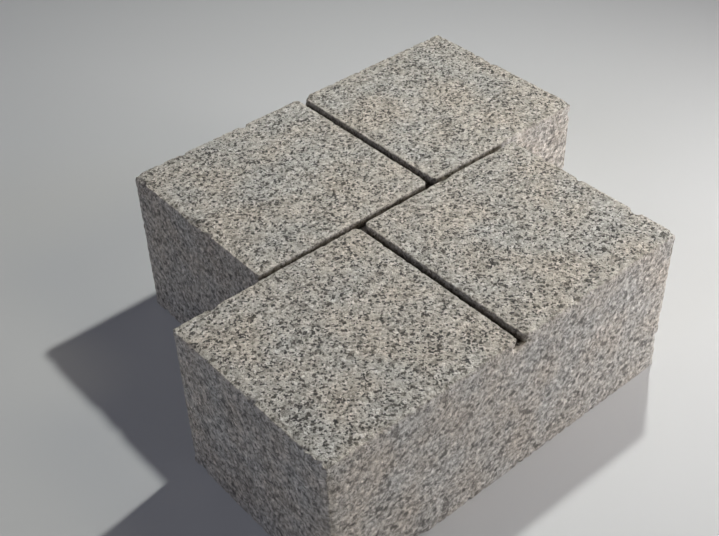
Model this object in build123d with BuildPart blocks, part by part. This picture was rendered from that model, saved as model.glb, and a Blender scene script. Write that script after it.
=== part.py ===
from build123d import *
import os

# Granite kerb stone for edging a path or a bed: one block of granite, sawn to a Z in plan
# so that each stone locks into the next. Shallow joints sawn in its top make it look like
# four setts laid in two staggered rows.
# Millimetres. X runs along the kerb, Y across it and Z up. The origin is the middle of the
# underside.

# Top faces of the false setts, between the joints
first_sett_length = 99.5    # along the kerb: in each row, the sett nearer -X
second_sett_length = 96.5
sett_width = 98.75          # across the kerb

# The block
stone_height = 80.0
row_offset = 46.0           # how far the back row stands on from the front row

# The sawn joints
cross_joint_width = 3.0     # across each row
row_joint_width = 2.5       # between the rows
joint_depth = 5.0

# Worn edges
corner_radius = 1.5         # upright corners of the block, in plan
joint_corner_radius = 3.0   # corners of the setts at the ends of the cross joints, in plan
arris_radius = 0.8          # edges around the top of each sett

# Worked out from the sizes above
joint_floor = stone_height - joint_depth
row_pitch = sett_width + row_joint_width
row_length = first_sett_length + cross_joint_width + second_sett_length
row_centres = [(-row_offset / 2, -row_pitch / 2), (row_offset / 2, row_pitch / 2)]
cross_joint_shift = (first_sett_length - second_sett_length) / 2
cross_joint_centres = [(x + cross_joint_shift, y) for x, y in row_centres]

with BuildPart() as kerb_stone:
    # The Z-shaped block up to the joint floor: both rows, and the strip that joins them
    # where they overlap
    with BuildSketch() as block_plan:
        with Locations(*row_centres):
            Rectangle(row_length, sett_width)
        Rectangle(row_length - row_offset, row_joint_width)
        fillet(block_plan.vertices(), corner_radius)
    extrude(amount=joint_floor)

    # The setts that the joints leave standing: two in each row
    with BuildSketch(Plane.XY.offset(joint_floor)) as sett_plan:
        with Locations(*row_centres):
            RectangleRounded(row_length, sett_width, corner_radius)
        with Locations(*cross_joint_centres):
            Rectangle(cross_joint_width, sett_width, mode=Mode.SUBTRACT)
        for x, y in cross_joint_centres:
            joint_ends = sett_plan.vertices().filter_by_position(
                Axis.X, x - cross_joint_width, x + cross_joint_width
            )
            fillet(joint_ends, joint_corner_radius)
    extrude(amount=joint_depth)

    # The arrises around the top of each sett
    sett_tops = kerb_stone.faces().group_by(Axis.Z)[-1]
    fillet(sett_tops.edges(), arris_radius)

kerb_stone.part.label = "kerb_stone"

os.makedirs("parts", exist_ok=True)
export_step(kerb_stone.part, "parts/kerb_stone.step")
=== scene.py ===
from math import exp, pi, radians, sin

import bmesh
import bpy
import numpy as np
from mathutils import Matrix, Vector, kdtree, noise
from mathutils.geometry import delaunay_2d_cdt


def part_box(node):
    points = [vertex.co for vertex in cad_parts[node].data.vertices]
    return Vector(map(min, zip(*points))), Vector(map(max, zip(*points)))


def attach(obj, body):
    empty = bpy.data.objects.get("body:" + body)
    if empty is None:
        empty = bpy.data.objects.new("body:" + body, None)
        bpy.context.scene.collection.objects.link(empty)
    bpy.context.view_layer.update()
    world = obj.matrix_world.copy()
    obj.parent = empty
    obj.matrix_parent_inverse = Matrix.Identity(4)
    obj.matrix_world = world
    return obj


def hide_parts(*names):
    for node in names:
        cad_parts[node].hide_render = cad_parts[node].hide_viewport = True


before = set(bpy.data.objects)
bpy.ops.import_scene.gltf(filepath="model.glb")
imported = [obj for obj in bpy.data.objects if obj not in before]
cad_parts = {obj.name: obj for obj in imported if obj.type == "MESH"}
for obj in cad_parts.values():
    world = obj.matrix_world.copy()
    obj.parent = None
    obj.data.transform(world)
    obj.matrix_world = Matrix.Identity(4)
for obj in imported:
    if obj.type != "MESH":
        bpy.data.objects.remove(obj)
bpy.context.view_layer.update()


# The kerb stone: its block
# The real piece is one block of fine-grained grey granite, sawn to a Z in plan. Three joints
# are sawn 5 mm deep in its top, so that it looks like four setts laid in two staggered rows.
# Its sawn faces are cut here into small facets, which the next part wears down.

mm = 0.001
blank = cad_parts["kerb_stone"]
highest_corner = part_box("kerb_stone")[1]
top_height = highest_corner[2] / mm
joint_depth = 5.0           # millimetres, as all sizes of the stone
joint_floor_height = top_height - joint_depth
arris_radius = 0.8          # of the rounding around the top of each sett

# Spacing of the facets' corners: close at the edges, wider inside a face
arris_step = 0.6
lower_edge_step = 1.1
top_step = 1.2
side_step = 1.9
underside_step = 8.0
joint_step = 1.0
step_growth = 0.22          # how fast the spacing widens away from an edge
underside_growth = 0.5
lattice_ratio = 1.25        # one spacing to the next wider one
shuffle = 0.28              # how far a corner strays from its lattice, in spacings
outline_gap = 0.6           # how far the inner corners keep from a face's outline, in spacings
roomy = 4.0                 # faces smaller than this, in square millimetres, get no inner corners

hair = 0.01                 # two heights closer than this are the same
weld_distance = 0.001
flat_angle = radians(0.5)   # faces that meet at less than this are one face
worn_angle = radians(4)     # edges that turn outward by more than this are worn
level_share = 0.9           # a face is level if its normal points up or down by more than this

block = bmesh.new()
block.from_mesh(blank.data)
bmesh.ops.remove_doubles(block, verts=block.verts, dist=weld_distance * mm)
bmesh.ops.dissolve_limit(block, angle_limit=flat_angle, verts=block.verts, edges=block.edges)
bmesh.ops.scale(block, vec=(1 / mm,) * 3, verts=block.verts)

# The rounded edges around the tops come in many narrow strips, and every third line is enough
levels = sorted({round(v.co.z, 3) for v in block.verts if v.co.z > top_height - arris_radius - hair})
kept_levels = {*levels[::3], levels[-1]}
spare_lines = [e for e in block.edges
               if abs(e.verts[0].co.z - e.verts[1].co.z) < hair / 2
               and e.verts[0].co.z > top_height - arris_radius
               and min(abs(e.verts[0].co.z - level) for level in kept_levels) > hair / 2]
bmesh.ops.dissolve_edges(block, edges=spare_lines, use_verts=False)
block.normal_update()

rng = np.random.default_rng(seed=7)


def edge_step(edge):
    """The spacing along an edge: close around the setts' tops and in the joints."""
    lowest = min(v.co.z for v in edge.verts)
    return arris_step if lowest > joint_floor_height - hair else lower_edge_step


def face_step(face):
    """The widest spacing inside a face, from what kind of face it is."""
    lowest = min(v.co.z for v in face.verts)
    if face.normal.z < -level_share:
        return underside_step
    if face.normal.z > level_share:
        return top_step if lowest > top_height - hair else joint_step
    return side_step if lowest < hair else joint_step


def face_axes(face):
    """Two directions in the face's plane and its normal, right-handed."""
    normal = face.normal.copy()
    longest = max(face.edges, key=lambda e: e.calc_length())
    along = (longest.verts[1].co - longest.verts[0].co).normalized()
    along = (along - normal * along.dot(normal)).normalized()
    return along, normal.cross(along), normal


def inner_points(face):
    """Points inside a flat face, on lattices that widen away from its outline."""
    u, v, normal = face_axes(face)
    starts = np.array([(p.co.dot(u), p.co.dot(v)) for p in face.verts])
    ends = np.roll(starts, -1, axis=0)
    steps = np.array([edge_step(loop.edge) for loop in face.loops])
    low, high = starts.min(axis=0), starts.max(axis=0)
    widest = face_step(face)
    growth = underside_growth if widest == underside_step else step_growth
    found = []
    spacing = arris_step
    while spacing < widest * lattice_ratio:
        columns = np.arange(low[0], high[0], spacing)
        rows = np.arange(low[1], high[1], spacing * sin(pi / 3))
        x, y = np.meshgrid(columns, rows)
        x = x + (np.arange(len(rows)) % 2)[:, None] * spacing / 2
        spots = np.stack([x.ravel(), y.ravel()], axis=1)
        spots += rng.uniform(-shuffle, shuffle, spots.shape) * spacing
        inside = np.zeros(len(spots), bool)
        wanted = np.full(len(spots), widest)
        clear = np.full(len(spots), np.inf)
        for a, b, step in zip(starts, ends, steps):
            # A level line from a spot inside crosses the outline an odd number of times
            crosses = (a[1] > spots[:, 1]) != (b[1] > spots[:, 1])
            with np.errstate(divide="ignore", invalid="ignore"):
                meets = a[0] + (spots[:, 1] - a[1]) / (b[1] - a[1]) * (b[0] - a[0])
            inside ^= crosses & (spots[:, 0] < meets)
            run = b - a
            along = np.clip((spots - a) @ run / (run @ run), 0, 1)
            distance = np.linalg.norm(spots - a - along[:, None] * run, axis=1)
            clear = np.minimum(clear, distance)
            wanted = np.minimum(wanted, step + growth * distance)
        fits = (wanted >= spacing) & (wanted < spacing * lattice_ratio)
        found.append(spots[inside & fits & (clear > spacing * outline_gap)])
        spacing *= lattice_ratio
    found = np.concatenate(found)
    height = face.verts[0].co.dot(normal)
    return [u * a + v * b + normal * height for a, b in found]


filling = {face: inner_points(face) for face in block.faces if face.calc_area() > roomy}
worn_edges = [e for e in block.edges if e.calc_face_angle_signed(0) > worn_angle]
edge_steps = {e: edge_step(e) for e in block.edges}
arris_lines = [(e.verts[0].co.copy(), e.verts[1].co.copy()) for e in worn_edges]
joint_mouths = [line for line in arris_lines
                if all(abs(end.z - joint_floor_height) < hair for end in line)]

for edge, step in edge_steps.items():
    parts = max(1, round(edge.calc_length() / step))
    near = edge.verts[0]
    for parts_left in range(parts, 1, -1):
        near = bmesh.utils.edge_split(edge, near, 1 / parts_left)[1]

block.verts.index_update()
corners = [v.co.copy() for v in block.verts]
facets = []
joint_corners = set()
inside_only = 1             # the kind of triangulation that ends at the outline
same_spot = 1e-7
for face in block.faces:
    u, v, normal = face_axes(face)
    rim = [vert.index for vert in face.verts]
    members = rim + list(range(len(corners), len(corners) + len(filling.get(face, ()))))
    corners += filling.get(face, [])
    flat = [Vector((corners[i].dot(u), corners[i].dot(v))) for i in members]
    fence = [(i, (i + 1) % len(rim)) for i in range(len(rim))]
    _, _, triangles, sources, _, _ = delaunay_2d_cdt(flat, fence, [], inside_only, same_spot)
    numbers = [members[source[0]] for source in sources]
    facets += [[numbers[i] for i in triangle] for triangle in triangles]
    lowest = min(vert.co.z for vert in face.verts)
    if abs(lowest - joint_floor_height) < hair:
        joint_corners.update(members)
block.free()
points = np.array(corners)
facets = np.array(facets)


# The kerb stone: its worn surface
# Flaming has opened the granite's grain, and handling has knocked small chips off its edges.
# Every corner of the facets sinks below the sawn surface, most along the edges, so nothing
# stands proud of the block.

top_relief = 0.27
side_relief = 0.14
relief_width = 3.2
fine_relief_width = 1.6
coarse_share = 0.6          # the wide relief's share of the depth, and the fine one has the rest
wear_depth = 0.30
upright_wear_depth = 0.65
wear_reach = 1.0            # the wear fades over this distance from an edge
top_fade = 6.0              # the upright edges' extra wear fades out over these heights
foot_fade = 4.0
chip_depth = 1.3
chip_length = 4.6
chip_reach = 1.6
chip_limits = (0.2, 0.6)    # the noise at which a chip starts and at which it is full
nick_depth = 0.50
nick_length = 1.5
nick_reach = 0.8
nick_limits = (0.1, 0.5)
edge_zone = 3 * chip_reach  # further in, wear, chips and nicks have all faded
joint_wear = 0.3            # how much of the wear, chips and nicks the sawn joints' edges have
joint_chips = 0.3
joint_nicks = 0.8
joint_calm = (0.5, 3.0)     # the distances from a joint over which the edges become open ones
corner_chips = [            # a knocked corner: where, how far it reaches, how deep it is
    ((27.0, 100.0, 80.0), 4.2, 2.2),
    ((-74.0, 99.0, 80.0), 2.4, 0.9),
    ((121.5, 3.0, 80.0), 2.6, 1.0),
]
corner_evenness = 0.8       # the even part of a knocked corner's depth ...
corner_unevenness = 0.4     # ... and the part that follows the fine relief
fine_shift = Vector((9, 3, 5))      # each kind of damage is drawn from its own stretch of noise
chip_shift = Vector((21, 4, 13))
nick_shift = Vector((2, 31, 8))


def facet_normals(points):
    """The outward direction at each corner, from the facets around it."""
    a, b, c = (points[facets[:, i]] for i in range(3))
    across = np.cross(b - a, c - a)
    summed = np.zeros_like(points)
    for i in range(3):
        np.add.at(summed, facets[:, i], across)
    return summed / np.linalg.norm(summed, axis=1)[:, None]


# Around an edge the surface sinks along a blend of the directions on both sides of it
blending_rounds = 8
outward = facet_normals(points)
links = np.concatenate([facets[:, [0, 1]], facets[:, [1, 2]], facets[:, [2, 0]]])
for _ in range(blending_rounds):
    summed = outward.copy()
    np.add.at(summed, links[:, 0], outward[links[:, 1]])
    outward = summed / np.linalg.norm(summed, axis=1)[:, None]


def finder_of(places):
    """A search tree that finds the nearest of these places."""
    finder = kdtree.KDTree(len(places))
    for i, place in enumerate(places):
        finder.insert(place, i)
    finder.balance()
    return finder


def along_lines(lines):
    """Places along straight lines, an arris_step apart."""
    found = []
    for start, end in lines:
        count = max(1, round((end - start).length / arris_step))
        found += [start.lerp(end, i / count) for i in range(count + 1)]
    return found


edge_finder = finder_of(along_lines(arris_lines))
mouth_finder = finder_of(along_lines(joint_mouths))
joint_finder = finder_of([(points[i][0], points[i][1], top_height) for i in sorted(joint_corners)])
edge_distance = np.array([edge_finder.find(p)[2] for p in points])


def smooth_step(low, high, value):
    """0 below low, 1 above high, and a smooth rise between them."""
    t = min(max((value - low) / (high - low), 0), 1)
    return t * t * (3 - 2 * t)


sunk = np.zeros(len(points))
for i, point in enumerate(points):
    place = Vector(point)
    upward = max(outward[i][2], 0)
    relief = side_relief + (top_relief - side_relief) * upward
    coarse = 1 + noise.noise(place / relief_width)
    fine = 1 + noise.noise(place / fine_relief_width + fine_shift)
    depth = relief * (coarse_share * coarse + (1 - coarse_share) * fine)
    away = edge_distance[i]
    if away < edge_zone:
        chip = smooth_step(*chip_limits, noise.noise(place / chip_length + chip_shift))
        nick = smooth_step(*nick_limits, noise.noise(place / nick_length + nick_shift))
        open_edge = smooth_step(*joint_calm, joint_finder.find(place)[2])
        chip *= joint_chips + (1 - joint_chips) * open_edge
        nick *= joint_nicks + (1 - joint_nicks) * open_edge
        upright = smooth_step(0, top_fade, top_height - place.z) * smooth_step(0, foot_fade, place.z)
        upright *= open_edge
        wear = wear_depth * (joint_wear + (1 - joint_wear) * open_edge)
        wear += (upright_wear_depth - wear_depth) * upright
        depth += wear * exp(-away / wear_reach)
        depth += chip_depth * chip * exp(-(away / chip_reach) ** 2)
        depth += nick_depth * nick * exp(-(away / nick_reach) ** 2)
    for middle, chip_width, depth_there in corner_chips:
        gap = (place - Vector(middle)).length
        if gap < chip_width:
            share = smooth_step(0, 1, 1 - gap / chip_width)
            depth += depth_there * share * (corner_evenness + corner_unevenness * fine)
    sunk[i] = depth
points -= outward * sunk[:, None]

# The underside has sunk too, so the stone is let down onto the floor again
points[:, 2] -= points[:, 2].min()

stone_mesh = bpy.data.meshes.new("kerb_stone_worn")
stone_mesh.from_pydata((points * mm).tolist(), [], facets.tolist())
stone_mesh.shade_smooth()
crease_angle = radians(50)
stone_mesh.set_sharp_from_angle(angle=crease_angle)

kerb_stone = bpy.data.objects.new("kerb_stone_worn", stone_mesh)
bpy.context.scene.collection.objects.link(kerb_stone)
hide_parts("kerb_stone")
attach(kerb_stone, "root")


# The kerb stone: its granite
# Pale and grey feldspar, smoky quartz and black mica, in grains of one to two millimetres. The
# flamed surface is rough and matt, the sawn one is smeared and smoother, and the mica has a
# slight glint.

edge_pale_and_highlight_reach = 1.5       # how far in from an edge the stone is paler, from wear and a painted highlight
flame_reach = 5.0           # how far down the sides the flame has spread
side_flaming = 0.8          # how flamed the top of a side is
dirt_and_shade_power = 1.4            # how strongly the joints' painted shade and dirt keep to their floors
mouth_limits = (0.2, 3.5)   # the distances from a joint's open end over which the painted shade and dirt start

grain_size = 1.28
mica_size = 0.84
wide_fleck_size = 1.9
wobble = 0.9                # how far the grains' outlines stray
least_mica = 0.10           # share of the surface, where the mica is sparse and where it is dense
most_mica = 0.28
wide_fleck_share = 0.60     # of the mica's share

# How strongly each layer of colour covers the ones before it
cloudiness = 0.65
mica_cover = 0.96
sawn_smear = 0.44
wide_fleck_cover = 0.72
blotchiness = 0.48
edge_paleness_and_highlight = 0.25
joint_dirt_and_shade_strength = 0.97

mineral_colours = [         # where each mineral starts, as a share of the grains
    (0.00, (0.085, 0.077, 0.065)),
    (0.07, (0.235, 0.220, 0.193)),
    (0.18, (0.340, 0.321, 0.286)),
    (0.37, (0.432, 0.409, 0.366)),
    (0.64, (0.504, 0.478, 0.431)),
    (0.88, (0.612, 0.585, 0.539)),
]
mica_colours = [
    (0.0, (0.006, 0.005, 0.004)),
    (0.7, (0.022, 0.019, 0.016)),
    (1.0, (0.090, 0.079, 0.066)),
]
patch_tints = [             # from cool to warm
    (0.34, (1.03, 1.04, 1.06)),
    (0.66, (1.10, 1.04, 0.99)),
]
sawn_grey = (0.385, 0.362, 0.324, 1)
wide_fleck_black = (0.060, 0.054, 0.047, 1)
# The paler edges are partly wear and partly a painted highlight
edge_cream_and_highlight = (0.60, 0.54, 0.45, 1)
# The joints' darkening below is painted shade, with a little dirt
joint_dirt_and_shade_colour = (0.07, 0.052, 0.042, 1)


def paint_on(name, amounts):
    """Keep an amount for every corner of the facets, for the granite to read."""
    layer = stone_mesh.attributes.new(name, "FLOAT", "POINT")
    layer.data.foreach_set("value", amounts.astype(np.float32))


# Painted shade, with a little dirt, darkens the joints towards their floors, but not at their open ends
dirt_and_shade = np.zeros(len(points))
for i in joint_corners:
    sawn_place = corners[i]
    share = min(max((top_height - sawn_place.z) / joint_depth, 0), 1)
    dirt_and_shade[i] = share ** dirt_and_shade_power * smooth_step(*mouth_limits, mouth_finder.find(sawn_place)[2])
flaming = np.maximum(outward[:, 2], side_flaming * np.exp((points[:, 2] - top_height) / flame_reach))
paint_on("edge_wear_and_highlight", np.exp(-edge_distance / edge_pale_and_highlight_reach))
paint_on("in_joint", dirt_and_shade)
paint_on("flamed", np.clip(flaming, 0, 1))

granite = bpy.data.materials.new("grey_granite")
granite.use_nodes = True
tree = granite.node_tree
surface = tree.nodes["Principled BSDF"]


def add(kind, settings=None, **inputs):
    """A shader node in the tree at hand. An input is a value, or another node's output socket.
    Its name is the socket's, with _ for a space, or i and the socket's number."""
    made = tree.nodes.new(kind)
    for name, value in (settings or {}).items():
        setattr(made, name, value)
    for name, value in inputs.items():
        socket = made.inputs[int(name[1:])] if name[1:].isdigit() else made.inputs[name.replace("_", " ")]
        if isinstance(value, bpy.types.NodeSocket):
            tree.links.new(value, socket)
        else:
            socket.default_value = value
    return made


def ramp(factor, stops, mode="LINEAR"):
    """A colour ramp. stops are pairs of position and colour."""
    made = add("ShaderNodeValToRGB", Fac=factor)
    made.color_ramp.interpolation = mode
    elements = made.color_ramp.elements
    while len(elements) < len(stops):
        elements.new(0.5)
    for element, (position, colour) in zip(elements, stops):
        element.position = position
        element.color = (*colour, 1)
    return made.outputs["Color"]


def maths(operation, a, b=0.0):
    """A sum of the numbers a and b, such as ADD or MULTIPLY."""
    return add("ShaderNodeMath", {"operation": operation}, i0=a, i1=b).outputs[0]


def stretch(value, low, high, new_low=0.0, new_high=1.0):
    """A value between low and high brought to between new_low and new_high."""
    return add("ShaderNodeMapRange", Value=value, From_Min=low, From_Max=high,
               To_Min=new_low, To_Max=new_high).outputs[0]


def blend(mode, amount, a, b):
    """Colour b laid over colour a, as strongly as amount says."""
    made = add("ShaderNodeMix", {"data_type": "RGBA", "blend_type": mode})
    for socket, value in ((made.inputs[0], amount), (made.inputs[6], a), (made.inputs[7], b)):
        if isinstance(value, bpy.types.NodeSocket):
            tree.links.new(value, socket)
        else:
            socket.default_value = value
    return made.outputs[2]


def painted(name):
    """An amount that paint_on kept."""
    return add("ShaderNodeAttribute", {"attribute_name": name}).outputs["Fac"]


place = add("ShaderNodeTexCoord").outputs["Object"]
place = add("ShaderNodeVectorMath", {"operation": "SCALE"}, i0=place, Scale=1 / mm).outputs[0]
stray = add("ShaderNodeTexNoise", Vector=place, Scale=0.9, Detail=3.0, Roughness=0.65)
stray = add("ShaderNodeVectorMath", {"operation": "SUBTRACT"}, i0=stray.outputs["Color"], i1=(0.5,) * 3)
stray = add("ShaderNodeVectorMath", {"operation": "SCALE"}, i0=stray.outputs[0], Scale=2 * wobble)
uneven = add("ShaderNodeVectorMath", {"operation": "ADD"}, i0=place, i1=stray.outputs[0]).outputs[0]

# Each grain and fleck draws its own three random numbers
grains = add("ShaderNodeTexVoronoi", Vector=uneven, Scale=1 / grain_size)
flecks = add("ShaderNodeTexVoronoi", Vector=uneven, Scale=1 / mica_size)
wide_flecks = add("ShaderNodeTexVoronoi", Vector=uneven, Scale=1 / wide_fleck_size)
grain_draw = add("ShaderNodeSeparateColor", Color=grains.outputs["Color"])
fleck_draw = add("ShaderNodeSeparateColor", Color=flecks.outputs["Color"])
wide_draw = add("ShaderNodeSeparateColor", Color=wide_flecks.outputs["Color"])

minerals = ramp(grain_draw.outputs[0], mineral_colours, "CONSTANT")
cloud = add("ShaderNodeTexNoise", Vector=place, Scale=1.5, Detail=3.0, Roughness=0.6)
minerals = blend("OVERLAY", cloudiness, minerals, cloud.outputs["Fac"])

clusters = add("ShaderNodeTexNoise", Vector=place, Scale=0.22, Detail=3.0, Roughness=0.6)
mica_share = stretch(clusters.outputs["Fac"], 0.35, 0.68, least_mica, most_mica)
is_mica = maths("LESS_THAN", fleck_draw.outputs[0], mica_share)
mica_colour = ramp(fleck_draw.outputs[1], mica_colours)
minerals = blend("MIX", maths("MULTIPLY", is_mica, mica_cover), minerals, mica_colour)

# The sawn sides are smeared and smoother: less contrast, and wider dark flecks
flamed_amount = painted("flamed")
sawn_amount = maths("SUBTRACT", 1.0, flamed_amount)
minerals = blend("MIX", maths("MULTIPLY", sawn_amount, sawn_smear), minerals, sawn_grey)
is_wide = maths("LESS_THAN", wide_draw.outputs[0], maths("MULTIPLY", mica_share, wide_fleck_share))
wide_amount = maths("MULTIPLY", maths("MULTIPLY", is_wide, sawn_amount), wide_fleck_cover)
minerals = blend("MIX", wide_amount, minerals, wide_fleck_black)
blotches = add("ShaderNodeTexNoise", Vector=place, Scale=0.42, Detail=2.0, Roughness=0.5)
blotches = stretch(blotches.outputs["Fac"], 0.3, 0.7)
minerals = blend("OVERLAY", maths("MULTIPLY", sawn_amount, blotchiness), minerals, blotches)

patches = add("ShaderNodeTexNoise", Vector=place, Scale=0.042, Detail=2.0, Roughness=0.55)
minerals = blend("MULTIPLY", 1.0, minerals, ramp(patches.outputs["Fac"], patch_tints))
# The edges are paler from wear, with a painted highlight along them
minerals = blend("MIX", maths("MULTIPLY", painted("edge_wear_and_highlight"), edge_paleness_and_highlight), minerals, edge_cream_and_highlight)
# Painted shade, with a little dirt, darkens the joints towards their floors
minerals = blend("MULTIPLY", maths("MULTIPLY", painted("in_joint"), joint_dirt_and_shade_strength), minerals, joint_dirt_and_shade_colour)
tree.links.new(minerals, surface.inputs["Base Color"])

stone_roughness = 0.86
mica_glint = 0.30
roughness = maths("SUBTRACT", stone_roughness, maths("MULTIPLY", is_mica, mica_glint))
tree.links.new(roughness, surface.inputs["Roughness"])

# Each grain stands at a level of its own and is slightly domed, with small pits all over
level_height = 0.18         # millimetres
dome_height = 0.24
pit_depth = 0.48
sawn_bumps = 0.4            # how strongly these show on the sawn surface ...
flamed_bumps = 0.60         # ... and how much more on the flamed one
grain_levels = maths("MULTIPLY", grain_draw.outputs[1], level_height)
grain_domes = maths("MULTIPLY", grains.outputs["Distance"], -dome_height)
pitting = maths("MULTIPLY", cloud.outputs["Fac"], pit_depth)
height = maths("ADD", maths("ADD", grain_levels, grain_domes), pitting)
bumps = maths("ADD", sawn_bumps, maths("MULTIPLY", flamed_amount, flamed_bumps))
bumpy = add("ShaderNodeBump", Height=height, Distance=mm, Strength=bumps)
tree.links.new(bumpy.outputs[0], surface.inputs["Normal"])
stone_mesh.materials.append(granite)


# The floor
# A plain pale sheet that runs out past every view. Far from the stone it fades into a pale
# backdrop. Only the camera sees the fade and the backdrop, so they add no light to the stone.

floor_size = 8.0            # metres
floor_colour = (0.60, 0.60, 0.60, 1)
floor_roughness = 0.9
backdrop = (0.43, 0.43, 0.435, 1)
fade_start = 0.55           # metres from the middle of the stone
fade_end = 1.15

reach = floor_size / 2
floor_mesh = bpy.data.meshes.new("floor")
floor_mesh.from_pydata([(-reach, -reach, 0), (reach, -reach, 0), (reach, reach, 0), (-reach, reach, 0)],
                       [], [(0, 1, 2, 3)])
floor = bpy.data.objects.new("floor", floor_mesh)
bpy.context.scene.collection.objects.link(floor)

pale_floor = bpy.data.materials.new("pale_floor")
pale_floor.use_nodes = True
tree = pale_floor.node_tree
sheet = tree.nodes["Principled BSDF"]
sheet.inputs["Base Color"].default_value = floor_colour
sheet.inputs["Roughness"].default_value = floor_roughness
spot = add("ShaderNodeTexCoord").outputs["Object"]
from_middle = add("ShaderNodeVectorMath", {"operation": "LENGTH"}, i0=spot).outputs["Value"]
fade = add("ShaderNodeMapRange", {"interpolation_type": "SMOOTHSTEP"}, Value=from_middle,
           From_Min=fade_start, From_Max=fade_end).outputs[0]
seen = add("ShaderNodeLightPath").outputs["Is Camera Ray"]
glow = add("ShaderNodeEmission", Color=backdrop, Strength=1.0)
mixed = add("ShaderNodeMixShader", i0=maths("MULTIPLY", fade, seen), i1=sheet.outputs[0], i2=glow.outputs[0])
tree.links.new(mixed.outputs[0], tree.nodes["Material Output"].inputs["Surface"])
floor_mesh.materials.append(pale_floor)


# The light
# One small lamp near the stone, high on the right, throws the dark shadow on the left and the
# narrow faint one in front. Two low lamps on the right light the front faces, and one behind
# lights the back. Two soft ones fill in.


def lamp(name, place, size, watts, colour, aim=(0, 0, 0.04)):
    """A square area lamp that faces the middle of the stone, or another aim."""
    light = bpy.data.lights.new(name, "AREA")
    light.size = size
    light.energy = watts
    light.color = colour
    holder = bpy.data.objects.new(name, light)
    holder.location = place
    direction = Vector(aim) - Vector(place)
    holder.rotation_euler = direction.to_track_quat("-Z", "Y").to_euler()
    bpy.context.scene.collection.objects.link(holder)


lamp("main_lamp", place=(0.307, 0.063, 0.556), size=0.027, watts=3.1, colour=(0.975, 1.0, 0.965),
     aim=(-0.6, 0.05, 0.2))
lamp("low_lamp_near", place=(0.370, -0.311, 0.169), size=0.15, watts=1.42, colour=(1.0, 0.966, 0.984))
lamp("low_lamp_far", place=(2.003, -1.403, 0.560), size=0.6, watts=21.5, colour=(0.72, 0.81, 1.0))
lamp("soft_lamp_front", place=(0.354, -0.612, 0.747), size=0.3, watts=1.50, colour=(1.0, 0.915, 0.68))
lamp("soft_lamp_left", place=(-1.212, 0, 0.740), size=0.8, watts=4.3, colour=(0.78, 0.83, 1.0))
lamp("low_lamp_back", place=(0.45, 1.35, 0.14), size=0.3, watts=1.5, colour=(1.0, 1.0, 1.0))

# The dim room lights the stone from all around, and the camera sees the backdrop in its place
dim_room = (0.013, 0.010, 0.010, 1)
world = bpy.data.worlds.new("studio")
world.use_nodes = True
tree = world.node_tree
room = tree.nodes["Background"]
room.inputs["Color"].default_value = dim_room
room.inputs["Strength"].default_value = 1.0
seen = add("ShaderNodeLightPath").outputs["Is Camera Ray"]
glow = add("ShaderNodeBackground", Color=backdrop, Strength=1.0)
mixed = add("ShaderNodeMixShader", i0=seen, i1=room.outputs[0], i2=glow.outputs[0])
tree.links.new(mixed.outputs[0], tree.nodes["World Output"].inputs["Surface"])
bpy.context.scene.world = world


# The camera
# It stands where the photograph was taken from: half a metre from the stone, at its front left,
# and above it. That place was worked out from the stone's straight edges.

photo_width = 719
focal_length = 1175.8       # in pixels of the photograph
camera_azimuth = radians(39.43)
camera_elevation = radians(40.08)
camera_roll = radians(-1.95)
camera_distance = 0.4990    # metres, from the aim
camera_aim = Vector((-0.0415, -0.0242, 0.080))

camera_data = bpy.data.cameras.new("camera")
camera_data.sensor_width = 36.0
camera_data.lens = focal_length / photo_width * camera_data.sensor_width
camera_data.clip_start = 0.01
camera = bpy.data.objects.new("camera", camera_data)
turn = (Matrix.Rotation(-camera_azimuth, 3, "Z") @ Matrix.Rotation(radians(90) - camera_elevation, 3, "X")
        @ Matrix.Rotation(camera_roll, 3, "Z"))
camera.location = camera_aim + turn @ Vector((0, 0, camera_distance))
camera.rotation_euler = turn.to_euler()
bpy.context.scene.collection.objects.link(camera)
bpy.context.scene.camera = camera
bpy.context.scene.view_settings.view_transform = "Standard"
